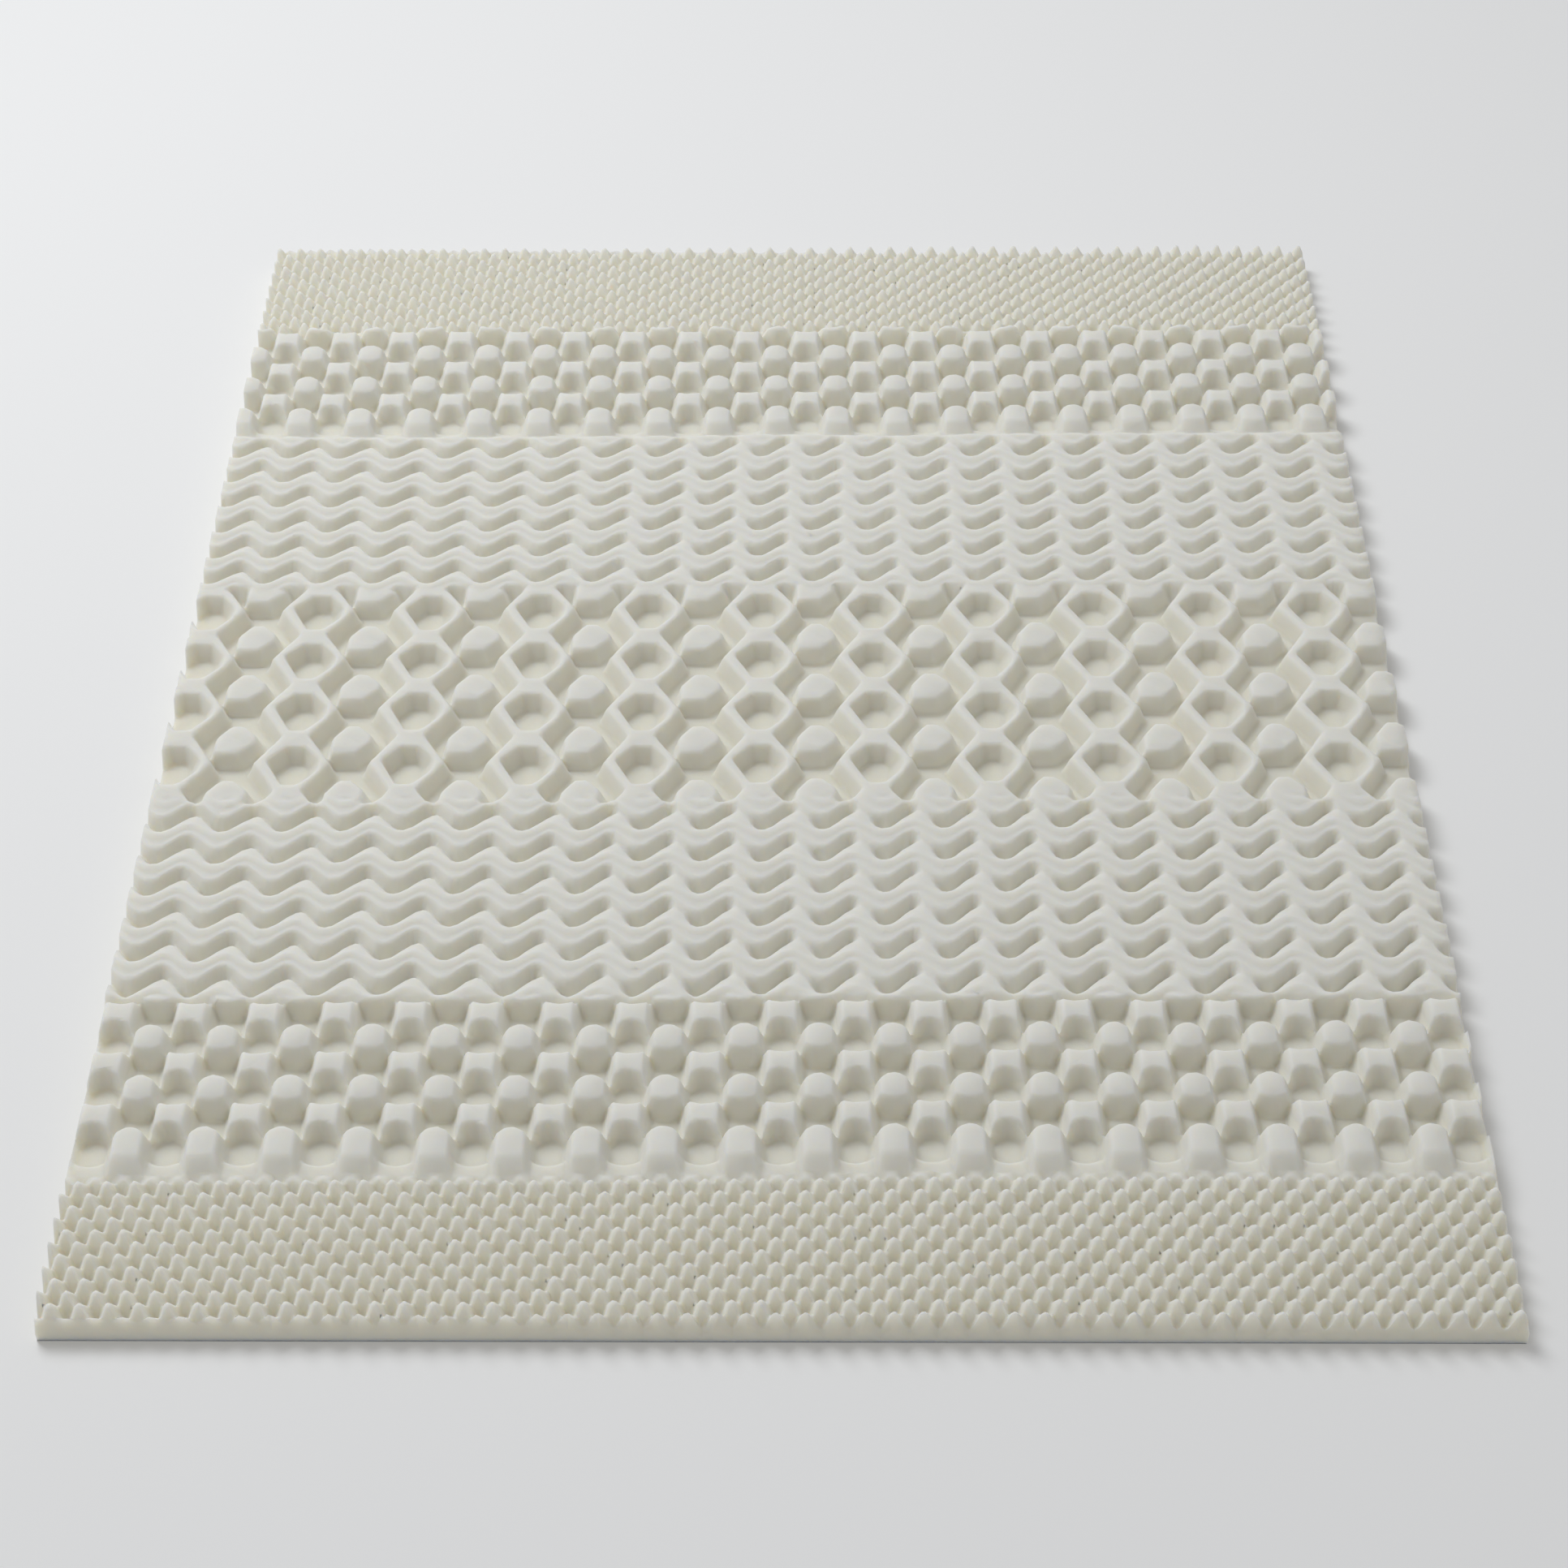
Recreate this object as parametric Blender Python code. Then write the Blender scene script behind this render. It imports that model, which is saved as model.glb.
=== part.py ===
"""A mattress topper for a queen bed: one slab of foam, cut into seven bands of relief, lying flat.

Metres, +Z up. The head end is at +Y, and the origin is the middle of the flat underside.
A convoluting machine presses the foam between patterned rollers and splits it with a blade, so that each
band swings by the same amount above and below the blade's level. Every band is a pattern cell, repeated.
"""

from collections import namedtuple

import bmesh
import bpy

# Driving sizes
WIDTH = 1.524  # 60 in, across the bed
LENGTH = 2.032  # 80 in, along the bed
THICKNESS = 0.050  # 2 in, to the tops of the blocks, which stand highest
BLOCK_SWING = 0.0175
BLADE_LEVEL = THICKNESS - BLOCK_SWING  # midway between the crests and floors of every band

# How far the trimmed sides lean out from the top to the underside
LEAN_LEFT = 0.002
LEAN_RIGHT = 0.005
LEAN_ENDS = 0.002

# The rows lie a little askew to the trimmed edges: how far they rise to the head end for each metre across
SKEW = 0.0065

# The closest that a pattern's line lies to the trimmed edge or to the next band, before the skew
EDGE_ROOM = 0.010
SEAM_ROOM = 0.004  # but the outermost row of each band is drawn out to this from its neighbour

# A pattern's lines lie at shares of its cell, across the bed and along it. levels has a row for each line
# along the cell, from -1, the deepest floor, to +1, the highest crest. sway moves each line across the cell
# along the bed, in metres.
Pattern = namedtuple("Pattern", "cell_width cell_length swing across along levels sway")


def mirrored(half):
    """A half cell followed by its mirror image."""
    return list(half) + list(half)[::-1]


# Rounded pegs and pits in turn, like the inside of an egg box, at twice the real pitch of 30 by 33 mm
PEGS = Pattern(
    cell_width=0.0604,
    cell_length=0.0664,
    swing=0.017,
    across=(0.0, 0.5),
    along=(0.0, 0.5),
    levels=((1, -1), (-1, 1)),
    sway=(0, 0),
)

# Square blocks and square pits in turn, each with a flat top or floor and steep sides
BLOCKS = Pattern(
    cell_width=0.0821,
    cell_length=0.0766,
    swing=BLOCK_SWING,
    across=(-0.19, 0.19, 0.31, 0.69),
    along=(-0.19, 0.19, 0.31, 0.69),
    levels=(
        (1, 1, -1, -1),
        (1, 1, -1, -1),
        (-1, -1, 1, 1),
        (-1, -1, 1, 1),
    ),
    sway=(0, 0, 0, 0),
)

# Winding ridges across the bed, with a row of slanting hollows between each two
WAVES = Pattern(
    cell_width=0.0713,
    cell_length=0.0555,
    swing=0.013,
    across=(-0.5, -0.2, 0.2),
    along=(0.0, 0.5),
    levels=(
        (0.6, -0.9, -0.9),
        (1, 1, 1),
    ),
    sway=(0, -0.012, 0.012),
)

# Chains of diamond rings along the bed, joined at their tips, with a block between each four.
# The columns are the ring's hollow, its inner side, its outer side and the floor beside it.
RINGS = Pattern(
    cell_width=0.1416,
    cell_length=0.0995,
    swing=0.013,
    across=tuple((i + 0.5) / 8 for i in range(8)),
    along=(-0.275, -0.085, 0.085, 0.275, 0.5),
    levels=(
        mirrored((-0.6, 1, -1, 0.6)),  # shoulders
        mirrored((-1, -0.3, 1, -1)),  # middle
        mirrored((-1, -0.3, 1, -1)),  # middle
        mirrored((-0.6, 1, -1, 0.6)),  # shoulders
        mirrored((1, -1, 0.4, 1)),  # tips, and the tops of the blocks
    ),
    sway=(0,) * 8,
)

# The bands from the head end to the foot end: pattern, length, and the place of one cell's middle,
# from the bed's middle line and from the band's own head-end edge
Band = namedtuple("Band", "pattern length cell_x cell_y")
BANDS = (
    Band(PEGS, 0.222, 0.0135, 0.026),
    Band(BLOCKS, 0.261, -0.0175, 0.0695),
    Band(WAVES, 0.343, -0.021, 0.0295),
    Band(RINGS, 0.412, -0.034, 0.046),
    Band(WAVES, 0.340, -0.0095, 0.031),
    Band(BLOCKS, 0.260, -0.044, 0.062),
    Band(PEGS, 0.194, 0.0105, 0.012),
)


def lines(shares, cell, middle, low, high):
    """Where a pattern's lines fall from low to high, in order."""
    first = int((low - middle) // cell) - 1
    last = int((high - middle) // cell) + 1
    places = [middle + (n + share) * cell for n in range(first, last + 1) for share in shares]
    return sorted(place for place in places if low + EDGE_ROOM < place < high - EDGE_ROOM)


def between(shares, values, share):
    """The value at a share of a cell, read along straight lines between the cell's own values."""
    turn = share - shares[0]
    turn -= turn // 1
    ends = [s - shares[0] for s in shares] + [1.0]
    values = list(values) + [values[0]]
    for a, b, low, high in zip(ends, ends[1:], values, values[1:]):
        if turn <= b:
            return low + (high - low) * (turn - a) / (b - a)
    return values[-1]


def surface(band, head, x, y):
    """The point of a band's relief over x and y. head is the band's head-end edge."""
    pattern = band.pattern
    across = (x - band.cell_x) / pattern.cell_width
    along = (head - y - band.cell_y) / pattern.cell_length
    row = [between(pattern.across, levels, across) for levels in pattern.levels]
    level = between(pattern.along, row, along)
    sway = between(pattern.across, pattern.sway, across)
    return x, y + sway + SKEW * x, BLADE_LEVEL + pattern.swing * level


def add_band(bm, band, head, first, last):
    """One band as a grid whose points are raised, and its head-end and foot-end rows of points.

    The rows at the two ends of the bed have the height that the pattern has there, as the foam is cut
    through. At a seam the outermost row keeps its own height and is drawn out, straight, to the seam.
    """
    pattern = band.pattern
    left = -WIDTH / 2 + LEAN_LEFT
    right = WIDTH / 2 - LEAN_RIGHT
    xs = [left] + lines(pattern.across, pattern.cell_width, band.cell_x, left, right) + [right]
    ys = lines(pattern.along, pattern.cell_length, band.cell_y, 0, band.length)
    ys = [LEAN_ENDS] * first + ys + [band.length - LEAN_ENDS] * last
    head_end = head - (LEAN_ENDS if first else SEAM_ROOM)
    foot_end = head - band.length + (LEAN_ENDS if last else SEAM_ROOM)
    grid = bmesh.ops.create_grid(bm, x_segments=len(xs) - 1, y_segments=len(ys) - 1, size=1)
    rows = [[None] * len(xs) for _ in ys]
    for point in grid["verts"]:
        i = round((point.co.x + 1) / 2 * (len(xs) - 1))
        j = round((1 - point.co.y) / 2 * (len(ys) - 1))
        point.co = surface(band, head, xs[i], head - ys[j])
        if j == 0:
            point.co.y = head_end + (0 if first else SKEW * xs[i])
        elif j == len(ys) - 1:
            point.co.y = foot_end + (0 if last else SKEW * xs[i])
        rows[j][i] = point
    return rows[0], rows[-1]


def row_edges(row):
    return [next(e for e in a.link_edges if e.other_vert(a) is b) for a, b in zip(row, row[1:])]


def add_relief(bm):
    """All the bands from head to foot, each joined to the next by a narrow strip."""
    head = LENGTH / 2
    foot_row = None
    for n, band in enumerate(BANDS):
        head_row, next_foot = add_band(bm, band, head, n == 0, n == len(BANDS) - 1)
        if foot_row:
            bmesh.ops.bridge_loops(bm, edges=row_edges(foot_row) + row_edges(head_row))
        foot_row = next_foot
        head -= band.length


def fold_facets(bm):
    """Each four-sided facet is folded between its two lower corners, so that pegs and blocks stand apart."""
    for facet in [f for f in bm.faces if len(f.verts) == 4]:
        a, b, c, d = facet.verts
        lower = (a, c) if a.co.z + c.co.z < b.co.z + d.co.z else (b, d)
        bmesh.utils.face_split(facet, *lower)


def add_base(bm):
    """The four trimmed sides and the flat underside, drawn down from the relief's rim."""
    rim = [e for e in bm.edges if e.is_boundary]
    drawn = bmesh.ops.extrude_edge_only(bm, edges=rim)["geom"]
    lower = [v for v in drawn if isinstance(v, bmesh.types.BMVert)]
    left = min(v.co.x for v in lower)
    right = max(v.co.x for v in lower)
    foot = min(v.co.y for v in lower)
    head = max(v.co.y for v in lower)
    near = EDGE_ROOM / 2
    for point in lower:
        point.co.z = 0
        point.co.x -= LEAN_LEFT * (point.co.x < left + near) - LEAN_RIGHT * (point.co.x > right - near)
        point.co.y += LEAN_ENDS * ((point.co.y > head - near) - (point.co.y < foot + near))
    underside = [e for e in drawn if isinstance(e, bmesh.types.BMEdge) and e.is_boundary]
    faces = bmesh.ops.contextual_create(bm, geom=underside)["faces"]
    bmesh.ops.triangulate(bm, faces=faces, ngon_method="BEAUTY")
    bmesh.ops.recalc_face_normals(bm, faces=bm.faces)


def foam_material():
    """Dull ivory polyurethane foam."""
    material = bpy.data.materials.new("ivory_foam")
    material.use_nodes = True
    shader = material.node_tree.nodes["Principled BSDF"]
    shader.inputs["Base Color"].default_value = (0.78, 0.77, 0.69, 1)
    shader.inputs["Roughness"].default_value = 0.95
    shader.inputs["Metallic"].default_value = 0
    return material


def foam_topper(collection):
    bm = bmesh.new()
    add_relief(bm)
    fold_facets(bm)
    add_base(bm)
    mesh = bpy.data.meshes.new("foam_topper")
    bm.to_mesh(mesh)
    bm.free()
    mesh.materials.append(foam_material())
    topper = bpy.data.objects.new("foam_topper", mesh)
    collection.objects.link(topper)
    return topper


for old in list(bpy.data.objects):
    bpy.data.objects.remove(old, do_unlink=True)
parts = bpy.data.collections.new("mattress_topper")
bpy.context.scene.collection.children.link(parts)
foam_topper(parts)
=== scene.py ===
"""A convoluted foam mattress topper, lying flat on a pale floor in soft studio light."""

import math

import bpy
import numpy as np
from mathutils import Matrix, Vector


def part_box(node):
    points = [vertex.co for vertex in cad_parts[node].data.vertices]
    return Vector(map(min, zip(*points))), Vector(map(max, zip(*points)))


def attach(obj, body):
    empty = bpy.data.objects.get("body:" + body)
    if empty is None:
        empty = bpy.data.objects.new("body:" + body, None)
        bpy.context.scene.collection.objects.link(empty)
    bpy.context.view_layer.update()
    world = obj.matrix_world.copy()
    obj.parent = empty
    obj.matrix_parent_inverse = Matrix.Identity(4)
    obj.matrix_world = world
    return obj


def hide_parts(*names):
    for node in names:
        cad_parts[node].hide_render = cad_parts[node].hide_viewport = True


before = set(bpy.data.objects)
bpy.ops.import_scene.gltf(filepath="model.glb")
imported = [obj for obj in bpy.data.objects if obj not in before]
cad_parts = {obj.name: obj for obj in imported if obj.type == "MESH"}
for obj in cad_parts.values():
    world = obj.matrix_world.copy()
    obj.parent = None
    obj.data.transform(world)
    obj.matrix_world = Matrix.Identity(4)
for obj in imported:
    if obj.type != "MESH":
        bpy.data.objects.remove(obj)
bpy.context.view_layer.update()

# The foam slab. One piece of ivory polyurethane foam, pressed between patterned rollers and split by a
# blade, so that its top swings up and down in seven bands, and then trimmed square on its four sides.
# Nothing is sewn or glued to it.
MM = 0.001
low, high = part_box("foam_topper")
WIDTH = high.x - low.x
LENGTH = high.y - low.y
BLADE_LEVEL = 32.5 * MM
SKEW = 0.0065  # the rows rise to the head end by this much for each metre across
DENSE_STEP = 2.6 * MM
TRIANGLES = 199000


def ease(share):
    """From 0 to 1 with level ends."""
    share = np.clip(share, 0, 1)
    return share * share * (3 - 2 * share)


def fold(place, cell, middle=0.0):
    """How far each place lies from the middle of its own cell."""
    return place - middle - np.round((place - middle) / cell) * cell


def smooth_min(a, b, blend):
    """The lower of the two, with the corner between them rounded over the blend."""
    return (a + b - np.sqrt((a - b) ** 2 + blend**2)) / 2


def uneven(seed, x, y, step):
    """A smooth unevenness from -1 to 1, the same on every run, with its swells about a step apart."""
    table = np.random.default_rng(seed).uniform(-1, 1, (90, 90))
    i = np.floor(x / step).astype(int)
    j = np.floor(y / step).astype(int)
    across = ease(x / step - i)
    along = ease(y / step - j)
    near = table[i % 90, j % 90] * (1 - across) + table[(i + 1) % 90, j % 90] * across
    far = table[i % 90, (j + 1) % 90] * (1 - across) + table[(i + 1) % 90, (j + 1) % 90] * across
    return near * (1 - along) + far * along


# Pegs: rounded pegs and pits in turn, like the inside of an egg box.
def pegs(x, y):
    cell_x, cell_y = 30.2 * MM, 33.1 * MM
    swing = 14.5 * MM
    wave = np.cos(2 * math.pi * x / cell_x) * np.cos(2 * math.pi * y / cell_y)
    rounded = np.sin(math.pi / 2 * wave)
    return swing * (0.5 * wave + 0.5 * rounded)


# Blocks: a column of blocks and pits in turn along the bed, then the same with block and pit changed
# over. The walls along the bed are straight. Those across it are arched, to the head end at the back of a
# round block and to the foot end at its front.
def blocks(x, y):
    cell_x, cell_y = 82.1 * MM, 76.6 * MM
    swing = 17.5 * MM
    half_length = 22.5 * MM
    back_arch, front_arch = 13 * MM, 8 * MM
    # half the run of a wall, from its middle out to the flat
    side_wall, end_wall = 5.5 * MM, 4 * MM
    # how deep the pits are, as a share of the blocks' height: between the round blocks of a column, and
    # between the square ones
    round_pit, square_pit = 0.78, 0.55
    run_on = 30 * MM
    column_x = fold(x, cell_x / 2)
    column = np.round(x / (cell_x / 2))
    kind = 1 - 2 * (column % 2)  # 1 where a round block stands in the middle of the row, or else -1
    # in the third row, the last, the round blocks run on into the seam, and the pits end halfway up
    last = y > 2 * cell_y
    dy = np.where(last, y - 2 * cell_y, fold(y, cell_y))
    front = half_length + run_on * (last & (kind > 0))
    bow = (column_x / (cell_x / 4)) ** 2
    inside_y = np.minimum(dy + half_length - back_arch * bow, front - front_arch * bow - dy)
    inside_x = cell_x / 4 - np.abs(column_x)
    across = np.sin(math.pi / 2 * np.clip(inside_x / side_wall, -1, 1))
    along = np.sin(math.pi / 2 * np.clip(inside_y / end_wall, np.where(last, 0, -1), 1))
    level = kind * across * along
    pit = np.where(kind > 0, round_pit, square_pit)
    return swing * np.where(level < 0, pit * level, level)


# Winding ridges across the bed, and between each two a row of slanting hollows.
def waves(x, y):
    cell_x, cell_y = 71.3 * MM, 55.5 * MM
    wind = 13 * MM  # how far the hollows and ridges wind to either side of their line
    crest_height, hollow_depth = 13 * MM, 27 * MM
    left_start, left_run = 17 * MM, 19 * MM  # where a hollow's floor starts to rise, from its middle
    right_start, right_run = 13 * MM, 12 * MM
    end_level = -0.03  # and what it rises to
    dx = fold(x, cell_x)
    swing = -np.sin(2 * math.pi * dx / cell_x)  # +1 where the hollow winds farthest to the foot end
    dy = fold(y - wind * swing, cell_y)
    dy = np.where(dy < 0, dy + cell_y, dy)
    # how far past the hollow's line, and at which level: hollow, near rim, crest, groove, far crest, hollow
    marks = (
        (0, -1),
        ((10.5 + 4 * swing) * MM, -0.14 + 0.12 * swing),
        ((22.5 - 4 * swing) * MM, 0),
        ((32 - 2 * swing) * MM, -0.10),
        (41 * MM, -0.02),
        (cell_y, -1),
    )
    across = np.zeros_like(dy)
    for (start, low_level), (end, high_level) in zip(marks, marks[1:]):
        share = ease((dy - start) / (end - start))
        here = (dy >= start) & (dy <= end)
        across = np.where(here, low_level + (high_level - low_level) * share, across)
    left_end = ease((-dx - left_start) / left_run)
    right_end = ease((dx - right_start) / right_run)
    # the ends rise most of the way on the right, and on the left the hollows run together
    closed = 0.88 - 0.42 * ease((-x - 80 * MM) / (380 * MM))
    # the hollows are unevenly deep, and shallowest a little to the right of the middle
    unlike = 0.12 * uneven(5, x + 7 * MM, y, 60 * MM)
    shallow = 0.18 * np.exp(-(((x - 150 * MM) / (120 * MM)) ** 2))
    open_share = 1 - closed * np.maximum(left_end, right_end)
    level = end_level + (across - end_level) * open_share * (1 - unlike - shallow)
    crest_run = 3 * MM
    near_crest = 1.4 * MM * np.exp(-(((dy - marks[2][0]) / crest_run) ** 2))
    far_crest = 0.8 * MM * np.exp(-(((dy - marks[4][0]) / crest_run) ** 2))
    return crest_height + hollow_depth * level + near_crest + far_crest


# Rings: chains of diamond rings along the bed, joined at their tips, and between the chains a block in
# each gap.
def rings(x, y):
    cell_x, cell_y = 141.6 * MM, 99.5 * MM
    swing = 12.5 * MM
    slope_x, slope_y = 0.857, 0.515  # the direction that the rings' outer walls face
    wall_run = 5 * MM  # half of it, from the wall's middle out to the flat
    corner = 0.2  # how far the corners between two sides are rounded, as a share of their slope
    lip, lip_height = 0.25, 0.3 * MM  # of the raised lip about each hollow, its width as a share too
    dish_size, dish_depth = 14 * MM, 1.6 * MM  # of the shallow dish in the top of each block
    # the sides of a hollow: the way that each faces in degrees, and how far its rim and its floor's edge
    # lie from the middle, in millimetres
    hollow_sides = (
        (0, 38, 17),
        (40, 37, 20),
        (90, 41, 34),
        (153, 26, 21),
        (222, 27, 20),
        (270, 29, 24),
        (318, 30, 23),
    )
    # and of a block: how far its foot and the edge of its top lie from the middle
    block_sides = (
        (0, 34, 22),
        (42, 34, 24),
        (90, 37, 33),
        (180, 31, 25),
        (215, 27, 16),
        (270, 25, 17),
        (316, 26, 15),
    )

    def inside(dx, dy, sides):
        """From 0 at the outer line of the sides to 1 at their inner line."""
        depth = None
        for angle, outer, inner in sides:
            turn = math.radians(angle)
            out = dx * math.cos(turn) + dy * math.sin(turn)
            share = (outer * MM - out) / ((outer - inner) * MM)
            depth = share if depth is None else smooth_min(depth, share, corner)
        return depth

    dx = fold(x, cell_x)
    dy = fold(y, cell_y)
    block_x = fold(x, cell_x, cell_x / 2)
    block_y = fold(y, cell_y, cell_y / 2)
    wall = slope_x * cell_x / 4 + slope_y * cell_y / 4
    out = slope_x * np.abs(dx) + slope_y * np.abs(dy)
    side = np.sin(math.pi / 2 * np.clip((wall - out) / wall_run, -1, 1))
    depth = inside(dx, dy, hollow_sides)
    sunk = ease(depth)
    rim = np.exp(-(((depth + 0.1) / lip) ** 2))
    raised = ease(inside(block_x, block_y, block_sides))
    dish = np.exp(-(block_x**2 + (block_y - 4 * MM) ** 2) / dish_size**2)
    level = side * (1 - sunk - raised) - sunk + raised
    return swing * level + lip_height * rim - dish_depth * dish


# The bands from the head end, in millimetres: pattern, length, the place of one cell's middle from the
# bed's middle line and from the band's own head-end edge, and how far before its foot end it starts to fade
bands = (
    (pegs, 222, 13.5, 26, 8),
    (blocks, 261, -17.5, 68.5, 24),
    (waves, 343, -21, 29.5, 8),
    (rings, 412, -34, 46, 8),
    (waves, 340, -9.5, 31, 8),
    (blocks, 260, -44, 61, 26),
    (pegs, 194, 10.5, 12, 8),
)
SEAM = 8 * MM  # half the stretch over which a band comes in
DRIFT = 2.5 * MM  # how far the cells stray from their even rows
DRIFT_STEP = 150 * MM


def relief(x, y):
    """The height of the top at x, and at y from the head end."""
    height = np.zeros_like(x)
    y = y + SKEW * x + DRIFT * uneven(1, x, y, DRIFT_STEP)
    x = x + DRIFT * uneven(2, x, y, DRIFT_STEP)
    start = 0.0
    for n, (pattern, length, cell_x, cell_y, fade) in enumerate(bands):
        end = start + length * MM
        share = np.ones_like(x)
        if n > 0:
            share = share * ease((y - start + SEAM) / (2 * SEAM))
        if n < len(bands) - 1:
            share = share * (1 - ease((y - end + fade * MM) / max(fade * MM, 2 * SEAM)))
        near = share > 0
        level = pattern(x[near] - cell_x * MM, y[near] - start - cell_y * MM)
        height[near] += share[near] * level
        start = end
    return BLADE_LEVEL + height


# The top starts as a dense grid whose points are raised. The trimmed sides lean out to the underside.
LEAN_LEFT = 2 * MM
LEAN_RIGHT = 5 * MM
LEAN_ENDS = 2 * MM
bpy.ops.object.select_all(action="DESELECT")
bpy.ops.mesh.primitive_grid_add(
    x_subdivisions=round(WIDTH / DENSE_STEP), y_subdivisions=round(LENGTH / DENSE_STEP), size=1
)
slab = bpy.context.object
slab.name = "foam_slab"
points = np.empty(len(slab.data.vertices) * 3)
slab.data.vertices.foreach_get("co", points)
points = points.reshape(-1, 3)
left, right = -WIDTH / 2 + LEAN_LEFT, WIDTH / 2 - LEAN_RIGHT
x = left + (points[:, 0] + 0.5) * (right - left)
y = points[:, 1] * (LENGTH - 2 * LEAN_ENDS)
points[:, 0] = x
points[:, 1] = y
# cut foam has soft edges, so each height is shared with that of four places about it
soft = 2.4 * MM
own_share, other_share = 0.36, 0.16
points[:, 2] = own_share * relief(x, LENGTH / 2 - y)
for right_step, foot_step in ((-1, -1), (-1, 1), (1, -1), (1, 1)):
    points[:, 2] += other_share * relief(x + right_step * soft, LENGTH / 2 - y + foot_step * soft)
slab.data.vertices.foreach_set("co", points.ravel())

# The sides are drawn down from the rim in rows: share of the rim's height, and how far out it lies as a
# share of the lean. The lowest edge is a little rounded.
drawn_down = 0.0001
side_rows = (
    (0.92, 0.25),
    (0.60, 0.60),
    (0.35, 1.0),
    (0.08, 0.95),
    (0.0, 0.80),
)
bpy.ops.object.mode_set(mode="EDIT")
bpy.ops.mesh.select_all(action="SELECT")
bpy.ops.mesh.region_to_loop()
rim = None
for share, out in side_rows:
    bpy.ops.mesh.extrude_region_move(TRANSFORM_OT_translate={"value": (0, 0, -drawn_down)})
    bpy.ops.object.mode_set(mode="OBJECT")
    chosen = np.empty(len(slab.data.vertices), bool)
    slab.data.vertices.foreach_get("select", chosen)
    points = np.empty(len(chosen) * 3)
    slab.data.vertices.foreach_get("co", points)
    points = points.reshape(-1, 3)
    if rim is None:
        rim = points[chosen].copy()
        rim[:, 2] += drawn_down
        on_left = rim[:, 0] < left + MM
        on_right = rim[:, 0] > right - MM
        on_head = rim[:, 1] > LENGTH / 2 - LEAN_ENDS - MM
        on_foot = rim[:, 1] < -LENGTH / 2 + LEAN_ENDS + MM
    row = rim.copy()
    row[:, 0] += out * (LEAN_RIGHT * on_right - LEAN_LEFT * on_left)
    row[:, 1] += out * LEAN_ENDS * (on_head.astype(float) - on_foot)
    row[:, 2] = rim[:, 2] * share
    points[chosen] = row
    slab.data.vertices.foreach_set("co", points.ravel())
    bpy.ops.object.mode_set(mode="EDIT")
bpy.ops.mesh.edge_face_add()
bpy.ops.mesh.select_all(action="SELECT")
bpy.ops.mesh.normals_make_consistent(inside=False)
bpy.ops.object.mode_set(mode="OBJECT")

# Extrude leaves its faces in another order on each run. So they are put in order, each from its first point
# on, for the thinning to give the same mesh every time.
corners = [list(p.vertices) for p in slab.data.polygons]
starts = [face.index(min(face)) for face in corners]
corners = sorted(face[start:] + face[:start] for face, start in zip(corners, starts))
places = [v.co.copy() for v in slab.data.vertices]
slab.data.clear_geometry()
slab.data.from_pydata(places, [], corners)

# The dense mesh is thinned where it is flattest.
slab.data.update()
dense_triangles = sum(len(p.vertices) - 2 for p in slab.data.polygons)
thin = slab.modifiers.new("thin", "DECIMATE")
thin.ratio = TRIANGLES / dense_triangles
bpy.ops.object.modifier_apply(modifier="thin")
bpy.ops.object.shade_smooth_by_angle(angle=math.radians(75))


class Shade:
    """A value or a colour in the foam's material, worked out over its surface."""

    def __init__(self, tree, socket=None):
        self.tree = tree
        self.socket = socket

    def node(self, kind, settings, sockets, output=0):
        """The output of a new node, given its settings and the values or links of its sockets."""
        made = self.tree.nodes.new(kind)
        for name, value in settings.items():
            setattr(made, name, value)
        for name, value in sockets.items():
            if isinstance(value, Shade):
                self.tree.links.new(value.socket, made.inputs[name])
            else:
                made.inputs[name].default_value = value
        return Shade(self.tree, made.outputs[output])

    def maths(self, operation, a, b):
        return self.node("ShaderNodeMath", {"operation": operation}, {0: a, 1: b})

    def __add__(self, other):
        return self.maths("ADD", self, other)

    def __sub__(self, other):
        return self.maths("SUBTRACT", self, other)

    def __rsub__(self, other):
        return self.maths("SUBTRACT", other, self)

    def __mul__(self, other):
        return self.maths("MULTIPLY", self, other)

    __radd__ = __add__
    __rmul__ = __mul__


# Cut foam lets light in a little way, so that its edges glow and its hollows turn warm. Painted shade also
# makes its colour warmer and darker the lower the surface lies, in the hollows, and its face is faintly
# mottled and uneven.
TOP_COLOR = (0.79, 0.785, 0.742, 1)
# the warmer, darker colour painted into the hollows as shade
PAINTED_SHADE_COLOR = (0.80, 0.77, 0.65, 1)
foam = bpy.data.materials.new("ivory_foam")
foam.use_nodes = True
shader = foam.node_tree.nodes["Principled BSDF"]
shader.inputs["Roughness"].default_value = 0.95
shader.inputs["Subsurface Weight"].default_value = 1.0
shader.inputs["Subsurface Radius"].default_value = (1.0, 0.87, 0.62)
shader.inputs["Subsurface Scale"].default_value = 18 * MM
nodes = Shade(foam.node_tree)
place = nodes.node("ShaderNodeTexCoord", {}, {}, "Object")
height = nodes.node("ShaderNodeSeparateXYZ", {}, {0: place}, "Z")
# how far below the tops the surface lies, which sets how much painted shade it gets
depth = nodes.node("ShaderNodeMapRange", {}, {"Value": height, "From Min": 47 * MM, "From Max": 17 * MM})
mottle = nodes.node("ShaderNodeTexNoise", {}, {"Vector": place, "Scale": 120.0, "Detail": 3.0})
pores = nodes.node("ShaderNodeTexNoise", {}, {"Vector": place, "Scale": 900.0, "Detail": 1.0})
painted_shade_share, mottle_share, pore_share = 0.8, 0.3, 0.3
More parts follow.
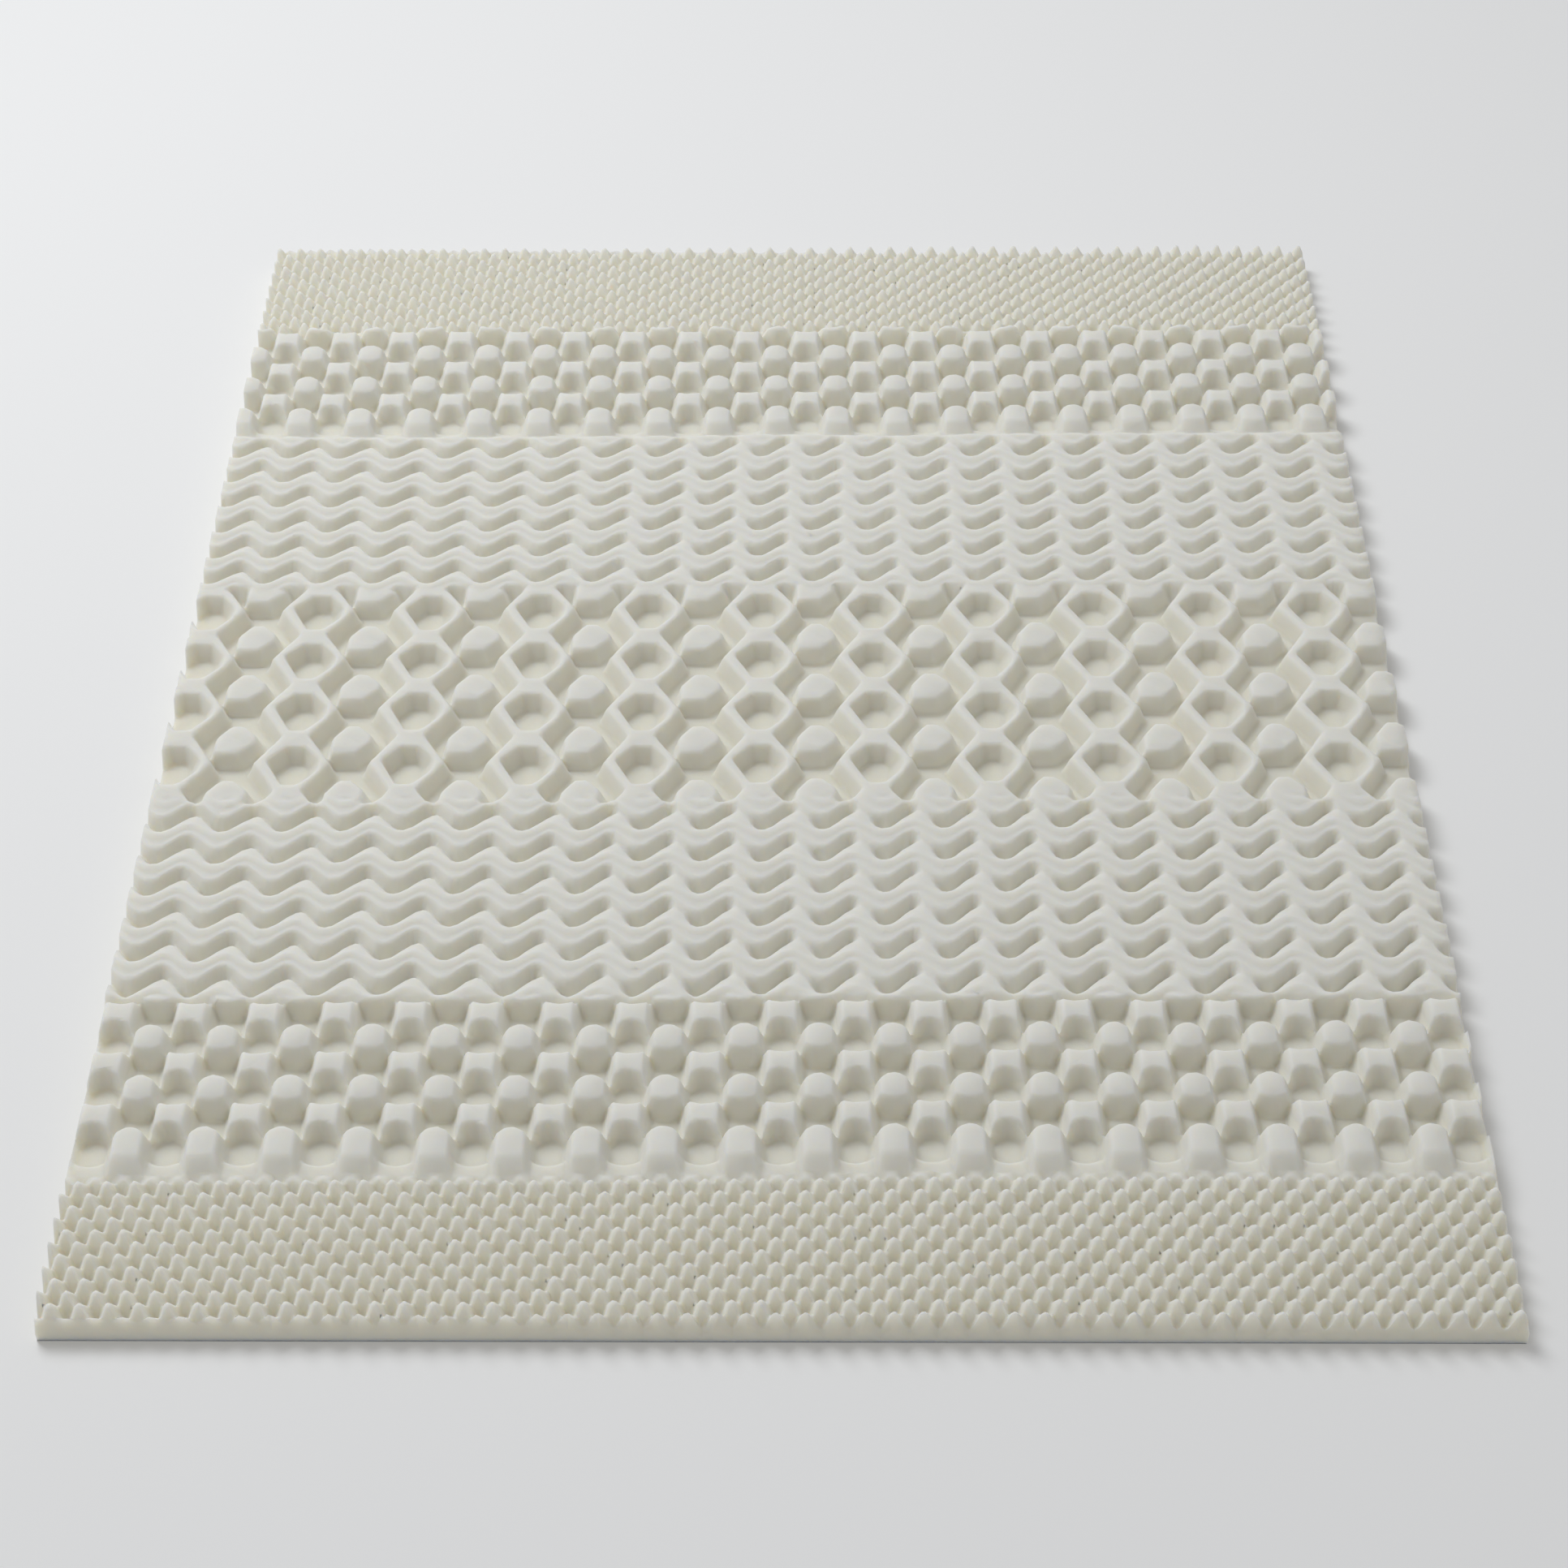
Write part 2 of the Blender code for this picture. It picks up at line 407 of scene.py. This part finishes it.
# painted shade by depth, plus a random mottle of tone
shade_and_mottle = depth * painted_shade_share + (mottle - 0.5) * mottle_share
color = nodes.node("ShaderNodeMix", {"data_type": "RGBA"}, {0: shade_and_mottle, 6: TOP_COLOR, 7: PAINTED_SHADE_COLOR}, 2)
uneven_face = mottle + pores * pore_share
bump = nodes.node("ShaderNodeBump", {}, {"Strength": 1.0, "Distance": 0.35 * MM, "Height": uneven_face})
foam.node_tree.links.new(color.socket, shader.inputs["Base Color"])
foam.node_tree.links.new(bump.socket, shader.inputs["Normal"])
slab.data.materials.append(foam)
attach(slab, "root")
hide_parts("foam_topper")

# The floor: a plain pale studio floor in matt paint, level with the underside of the foam. It belongs to
# the stage and not to the topper.
bpy.ops.object.select_all(action="DESELECT")
bpy.ops.mesh.primitive_plane_add(size=30, location=(0, 0, 0))
floor = bpy.context.object
floor.name = "floor"
paint = bpy.data.materials.new("floor_paint")
paint.use_nodes = True
shader = paint.node_tree.nodes["Principled BSDF"]
shader.inputs["Base Color"].default_value = (0.95, 0.95, 0.95, 1)
shader.inputs["Roughness"].default_value = 1.0
floor.data.materials.append(paint)

# The camera stands at the foot end, and looks down at the topper at the photograph's angle.
bpy.ops.object.camera_add(
    location=(0.02962, -3.14911, 2.62291),
    rotation=(math.radians(48.845), math.radians(0.274), math.radians(0.369)),
)
camera = bpy.context.object
camera.data.lens = 74.85
camera.data.sensor_width = 36
camera.data.clip_end = 50
bpy.context.scene.camera = camera
bpy.context.scene.view_settings.view_transform = "Standard"

# Soft studio light: a broad lamp high on the left, a little to the head end, and an even white surround.
lamp_place = Vector((-2.4, 2.1, 5.5))
bpy.ops.object.light_add(type="AREA", location=lamp_place)
lamp = bpy.context.object
lamp.rotation_euler = lamp_place.to_track_quat("Z", "Y").to_euler()
lamp.data.size = 3.0
lamp.data.energy = 186
lamp.data.color = (0.96, 0.98, 1.0)
world = bpy.data.worlds.new("surround")
bpy.context.scene.world = world
world.use_nodes = True
world.node_tree.nodes["Background"].inputs["Color"].default_value = (1, 1, 1, 1)
world.node_tree.nodes["Background"].inputs["Strength"].default_value = 0.40
